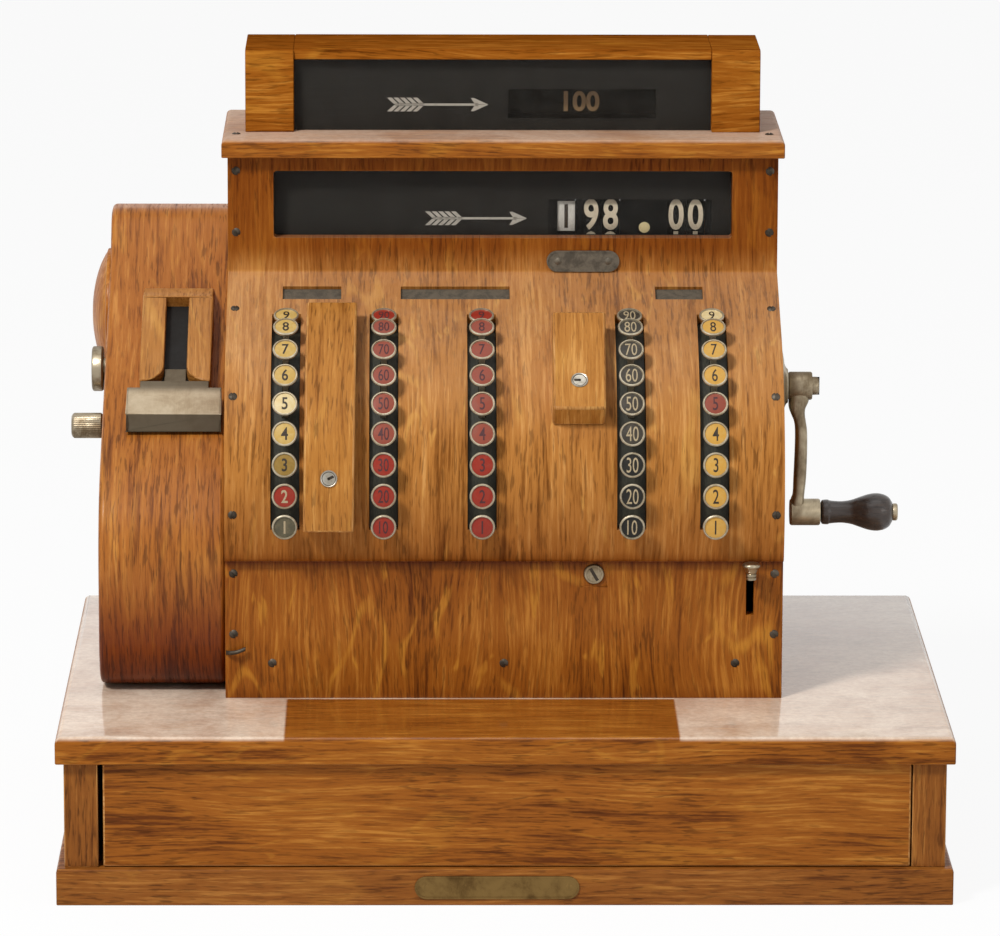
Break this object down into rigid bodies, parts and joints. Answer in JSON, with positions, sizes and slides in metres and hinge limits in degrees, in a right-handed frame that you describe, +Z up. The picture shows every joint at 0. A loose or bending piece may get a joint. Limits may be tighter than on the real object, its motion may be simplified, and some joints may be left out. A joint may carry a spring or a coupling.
{
  "type": "wooden cash register",
  "caption": "Old wooden cash register with a round keyboard, amount windows, a side crank, a receipt printer and a cash drawer in its base.",
  "frame": {"origin": "middle of the plinth's underside", "axes": "+X to the right seen from the keyboard, +Y to the back, +Z up"},
  "size_m": [0.61, 0.42, 0.5495],
  "materials": {
    "oak_base": "oiled quartersawn oak",
    "oak_slab": "polished oak slab with pale dust",
    "oak_drawer": "oiled quartersawn oak",
    "oak_inside": "plain oiled oak",
    "oak_cabinet": "varnished quartersawn oak with flecks",
    "oak_head": "varnished oak",
    "oak_printer": "varnished oak",
    "oak_covers": "varnished oak",
    "pane_glass": "clear",
    "mask_black": "matt black paint",
    "wheel_face": "black number wheels",
    "sign_face": "dark plain sign drum",
    "slot_steel": "blackened steel",
    "screw_steel": "old dark steel",
    "plate_brass": "tarnished brass",
    "nickel": "worn nickel plate",
    "grip_wood": "dark turned hardwood",
    "key_metal": "nickel bezel round a coloured disc"
  },
  "bodies": {
    "register": {"plinth": "oak_base", "base_case": "oak_base", "base_top": "oak_slab", "cabinet_sides": "oak_cabinet", "cabinet_back": "oak_cabinet", "keyboard_cover": "oak_cabinet", "lower_panel": "oak_cabinet", "head_cap": "oak_head", "sign_box": "oak_head", "display_glass": "pane_glass", "display_mask": "mask_black", "key_plates": "slot_steel", "cabinet_screws": "screw_steel", "metal_plates": "plate_brass", "printer_housing": "oak_printer", "receipt_chute": "oak_printer", "receipt_tray": "nickel", "roll_cover": "oak_printer", "crank_flange": "nickel", "clerk_keys": "key_metal"},
    "drawer": {"drawer_front": "oak_drawer", "drawer_box": "oak_inside", "coin_till": "oak_inside"},
    "crank": {"crank_arm": "nickel"},
    "crank_grip": {"crank_handle": "grip_wood"},
    "counter_lid_long": {"long_cover": "oak_covers"},
    "counter_lid_short": {"short_cover": "oak_covers"},
    "lever": {"release_lever": "nickel"},
    "lock": {"lock_screw": "nickel"},
    "amount_wheels": {"indicator_wheels": "wheel_face"},
    "sign_wheel": {"sign_drum": "sign_face"},
    "paper_knob": {"printer_knob": "nickel"},
    "date_pin": {"setting_pin": "nickel"},
    "red_key_1": {"red_key_1": "key_metal"},
    "red_key_2": {"red_key_2": "key_metal"},
    "red_key_3": {"red_key_3": "key_metal"},
    "red_key_4": {"red_key_4": "key_metal"},
    "red_key_5": {"red_key_5": "key_metal"},
    "red_key_6": {"red_key_6": "key_metal"},
    "red_key_7": {"red_key_7": "key_metal"},
    "red_key_8": {"red_key_8": "key_metal"},
    "red_key_9": {"red_key_9": "key_metal"},
    "black_key_10": {"black_key_10": "key_metal"},
    "black_key_20": {"black_key_20": "key_metal"},
    "black_key_30": {"black_key_30": "key_metal"},
    "black_key_40": {"black_key_40": "key_metal"},
    "black_key_50": {"black_key_50": "key_metal"},
    "black_key_60": {"black_key_60": "key_metal"},
    "black_key_70": {"black_key_70": "key_metal"},
    "black_key_80": {"black_key_80": "key_metal"},
    "black_key_90": {"black_key_90": "key_metal"},
    "yellow_key_1": {"yellow_key_1": "key_metal"},
    "yellow_key_2": {"yellow_key_2": "key_metal"},
    "yellow_key_3": {"yellow_key_3": "key_metal"},
    "yellow_key_4": {"yellow_key_4": "key_metal"},
    "yellow_key_5": {"yellow_key_5": "key_metal"},
    "yellow_key_6": {"yellow_key_6": "key_metal"},
    "yellow_key_7": {"yellow_key_7": "key_metal"},
    "yellow_key_8": {"yellow_key_8": "key_metal"},
    "yellow_key_9": {"yellow_key_9": "key_metal"}
  },
  "joints": [
    {"name": "drawer_slide", "type": "slide", "parent": "register", "child": "drawer", "axis": [0, -1, 0], "range_m": [0, 0.3]},
    {"name": "crank_turn", "type": "hinge", "parent": "register", "child": "crank", "pos_m": [0.2, 0.04, 0.31], "axis": [1, 0, 0], "continuous": true},
    {"name": "crank_grip_spin", "type": "hinge", "parent": "crank", "child": "crank_grip", "pos_m": [0.24, 0.04, 0.2185], "axis": [1, 0, 0], "continuous": true},
    {"name": "long_cover_lift", "type": "hinge", "parent": "register", "child": "counter_lid_long", "pos_m": [-0.12, -0.03178, 0.37278], "axis": [-1, 0, 0], "range_deg": [0, 80]},
    {"name": "short_cover_lift", "type": "hinge", "parent": "register", "child": "counter_lid_short", "pos_m": [0.0514, -0.04163, 0.3695], "axis": [-1, 0, 0], "range_deg": [0, 80]},
    {"name": "release_lever_slide", "type": "slide", "parent": "register", "child": "lever", "axis": [0, 0, -1], "range_m": [0, 0.028], "stiffness_N_per_m": 200},
    {"name": "lock_turn", "type": "hinge", "parent": "register", "child": "lock", "pos_m": [0.062, -0.101, 0.2062], "axis": [0, 1, 0], "range_deg": [0, 90]},
    {"name": "amount_wheels_turn", "type": "hinge", "parent": "register", "child": "amount_wheels", "pos_m": [0.0895, 0.076, 0.4325], "axis": [1, 0, 0], "continuous": true},
    {"name": "sign_drum_turn", "type": "hinge", "parent": "register", "child": "sign_wheel", "pos_m": [0.0558, 0.08, 0.5095], "axis": [1, 0, 0], "continuous": true},
    {"name": "printer_knob_turn", "type": "hinge", "parent": "register", "child": "paper_knob", "pos_m": [-0.285, 0.06, 0.318], "axis": [1, 0, 0], "continuous": true},
    {"name": "setting_pin_turn", "type": "hinge", "parent": "register", "child": "date_pin", "pos_m": [-0.29, 0.04, 0.281], "axis": [1, 0, 0], "continuous": true},
    {"name": "red_key_1_press", "type": "slide", "parent": "register", "child": "red_key_1", "axis": [0, 0.9984, 0.0558], "range_m": [0, 0.008], "stiffness_N_per_m": 500},
    {"name": "red_key_2_press", "type": "slide", "parent": "register", "child": "red_key_2", "axis": [0, 0.995, -0.1002], "range_m": [0, 0.008], "stiffness_N_per_m": 500},
    {"name": "red_key_3_press", "type": "slide", "parent": "register", "child": "red_key_3", "axis": [0, 0.9673, -0.2538], "range_m": [0, 0.008], "stiffness_N_per_m": 500},
    {"name": "red_key_4_press", "type": "slide", "parent": "register", "child": "red_key_4", "axis": [0, 0.916, -0.4011], "range_m": [0, 0.008], "stiffness_N_per_m": 500},
    {"name": "red_key_5_press", "type": "slide", "parent": "register", "child": "red_key_5", "axis": [0, 0.8425, -0.5388], "range_m": [0, 0.008], "stiffness_N_per_m": 500},
    {"name": "red_key_6_press", "type": "slide", "parent": "register", "child": "red_key_6", "axis": [0, 0.7484, -0.6633], "range_m": [0, 0.008], "stiffness_N_per_m": 500},
    {"name": "red_key_7_press", "type": "slide", "parent": "register", "child": "red_key_7", "axis": [0, 0.6361, -0.7716], "range_m": [0, 0.008], "stiffness_N_per_m": 500},
    {"name": "red_key_8_press", "type": "slide", "parent": "register", "child": "red_key_8", "axis": [0, 0.5083, -0.8612], "range_m": [0, 0.008], "stiffness_N_per_m": 500},
    {"name": "red_key_9_press", "type": "slide", "parent": "register", "child": "red_key_9", "axis": [0, 0.3681, -0.9298], "range_m": [0, 0.005], "stiffness_N_per_m": 500},
    {"name": "black_key_10_press", "type": "slide", "parent": "register", "child": "black_key_10", "axis": [0, 0.9984, 0.0558], "range_m": [0, 0.008], "stiffness_N_per_m": 500},
    {"name": "black_key_20_press", "type": "slide", "parent": "register", "child": "black_key_20", "axis": [0, 0.995, -0.1002], "range_m": [0, 0.008], "stiffness_N_per_m": 500},
    {"name": "black_key_30_press", "type": "slide", "parent": "register", "child": "black_key_30", "axis": [0, 0.9673, -0.2538], "range_m": [0, 0.008], "stiffness_N_per_m": 500},
    {"name": "black_key_40_press", "type": "slide", "parent": "register", "child": "black_key_40", "axis": [0, 0.916, -0.4011], "range_m": [0, 0.008], "stiffness_N_per_m": 500},
    {"name": "black_key_50_press", "type": "slide", "parent": "register", "child": "black_key_50", "axis": [0, 0.8425, -0.5388], "range_m": [0, 0.008], "stiffness_N_per_m": 500},
    {"name": "black_key_60_press", "type": "slide", "parent": "register", "child": "black_key_60", "axis": [0, 0.7484, -0.6633], "range_m": [0, 0.008], "stiffness_N_per_m": 500},
    {"name": "black_key_70_press", "type": "slide", "parent": "register", "child": "black_key_70", "axis": [0, 0.6361, -0.7716], "range_m": [0, 0.008], "stiffness_N_per_m": 500},
    {"name": "black_key_80_press", "type": "slide", "parent": "register", "child": "black_key_80", "axis": [0, 0.5083, -0.8612], "range_m": [0, 0.008], "stiffness_N_per_m": 500},
    {"name": "black_key_90_press", "type": "slide", "parent": "register", "child": "black_key_90", "axis": [0, 0.3681, -0.9298], "range_m": [0, 0.005], "stiffness_N_per_m": 500},
    {"name": "yellow_key_1_press", "type": "slide", "parent": "register", "child": "yellow_key_1", "axis": [0, 0.9984, 0.0558], "range_m": [0, 0.008], "stiffness_N_per_m": 500},
    {"name": "yellow_key_2_press", "type": "slide", "parent": "register", "child": "yellow_key_2", "axis": [0, 0.995, -0.1002], "range_m": [0, 0.008], "stiffness_N_per_m": 500},
    {"name": "yellow_key_3_press", "type": "slide", "parent": "register", "child": "yellow_key_3", "axis": [0, 0.9673, -0.2538], "range_m": [0, 0.008], "stiffness_N_per_m": 500},
    {"name": "yellow_key_4_press", "type": "slide", "parent": "register", "child": "yellow_key_4", "axis": [0, 0.916, -0.4011], "range_m": [0, 0.008], "stiffness_N_per_m": 500},
    {"name": "yellow_key_5_press", "type": "slide", "parent": "register", "child": "yellow_key_5", "axis": [0, 0.8425, -0.5388], "range_m": [0, 0.008], "stiffness_N_per_m": 500},
    {"name": "yellow_key_6_press", "type": "slide", "parent": "register", "child": "yellow_key_6", "axis": [0, 0.7484, -0.6633], "range_m": [0, 0.008], "stiffness_N_per_m": 500},
    {"name": "yellow_key_7_press", "type": "slide", "parent": "register", "child": "yellow_key_7", "axis": [0, 0.6361, -0.7716], "range_m": [0, 0.008], "stiffness_N_per_m": 500},
    {"name": "yellow_key_8_press", "type": "slide", "parent": "register", "child": "yellow_key_8", "axis": [0, 0.5083, -0.8612], "range_m": [0, 0.008], "stiffness_N_per_m": 500},
    {"name": "yellow_key_9_press", "type": "slide", "parent": "register", "child": "yellow_key_9", "axis": [0, 0.3681, -0.9298], "range_m": [0, 0.005], "stiffness_N_per_m": 500}
  ]
}
